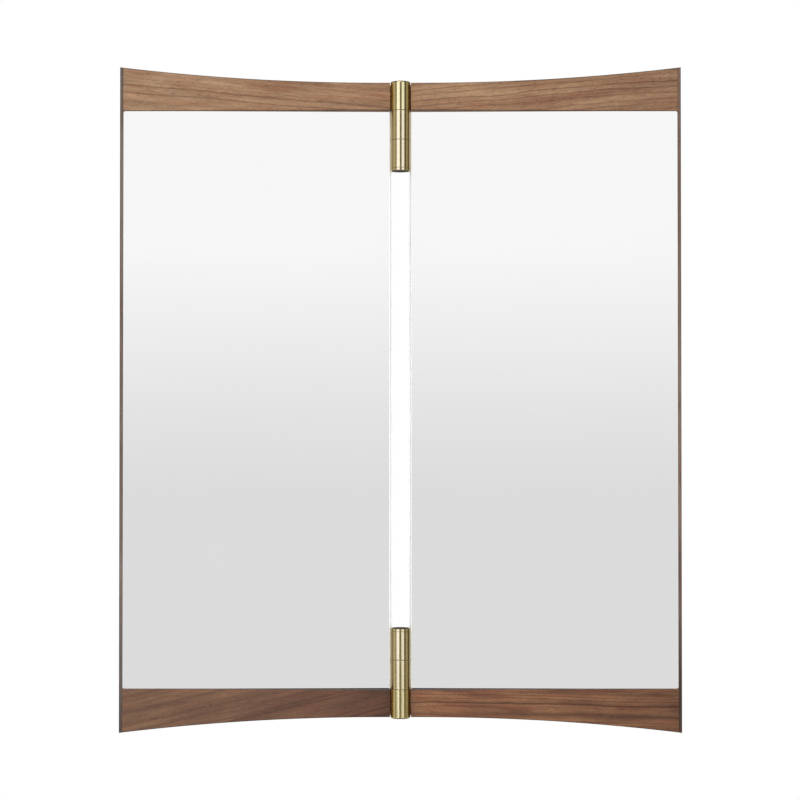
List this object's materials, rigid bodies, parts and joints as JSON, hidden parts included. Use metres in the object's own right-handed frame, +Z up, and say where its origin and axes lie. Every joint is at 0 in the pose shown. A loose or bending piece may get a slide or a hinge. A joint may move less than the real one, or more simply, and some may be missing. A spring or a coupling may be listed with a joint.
{
  "type": "two-wing wall mirror",
  "caption": "Hinged wall mirror: two silvered panes with curved walnut rails swing forward on brass barrel hinges that hang on plates screwed to the wall.",
  "frame": {"origin": "centre of the four wall-screw holes, on the wall plane, which the backs of the two wall plates and the bumpers touch", "axes": "+X to the right of a person facing the mirror, +Y into the wall, so the front faces -Y, +Z up"},
  "size_m": [0.5908, 0.0364, 0.7],
  "materials": {
    "walnut": "oiled walnut, satin",
    "veneer": "walnut veneer, matt",
    "brass": "turned and brushed",
    "steel": "bright zinc",
    "zinc": "zinc plated",
    "mirror": "silvered, polished edges",
    "aluminium": "satin sheet",
    "nylon": "natural",
    "foam": "foam tape",
    "rubber": "matt"
  },
  "bodies": {
    "wall_mount": {"upper_wall_plate": "zinc", "lower_wall_plate": "zinc", "upper_bracket": "brass", "lower_bracket": "brass", "upper_hinge_pin": "steel", "lower_hinge_pin": "steel", "upper_end_cap": "brass", "lower_end_cap": "brass", "upper_washers": "brass", "lower_washers": "brass", "pin_grub_screws": "steel", "foot_lock_screws": "steel"},
    "left_wing": {"left_glass": "mirror", "left_tape": "foam", "left_carrier": "aluminium", "left_back_board": "veneer", "left_top_rail": "walnut", "left_bottom_rail": "walnut", "left_stile": "walnut", "left_upper_knuckle": "brass", "left_lower_knuckle": "brass", "left_upper_bush": "nylon", "left_lower_bush": "nylon", "left_leaf_screws": "steel", "left_rail_screws": "steel", "left_bumpers": "rubber"},
    "right_wing": {"right_glass": "mirror", "right_tape": "foam", "right_carrier": "aluminium", "right_back_board": "veneer", "right_top_rail": "walnut", "right_bottom_rail": "walnut", "right_stile": "walnut", "right_upper_knuckle": "brass", "right_lower_knuckle": "brass", "right_upper_bush": "nylon", "right_lower_bush": "nylon", "right_leaf_screws": "steel", "right_rail_screws": "steel", "right_bumpers": "rubber"}
  },
  "joints": [
    {"name": "left_wing_swing", "type": "hinge", "parent": "wall_mount", "child": "left_wing", "pos_m": [0, -0.026, 0], "axis": [0, 0, 1], "range_deg": [0, 50]},
    {"name": "right_wing_swing", "type": "hinge", "parent": "wall_mount", "child": "right_wing", "pos_m": [0, -0.026, 0], "axis": [0, 0, -1], "range_deg": [0, 50]}
  ]
}
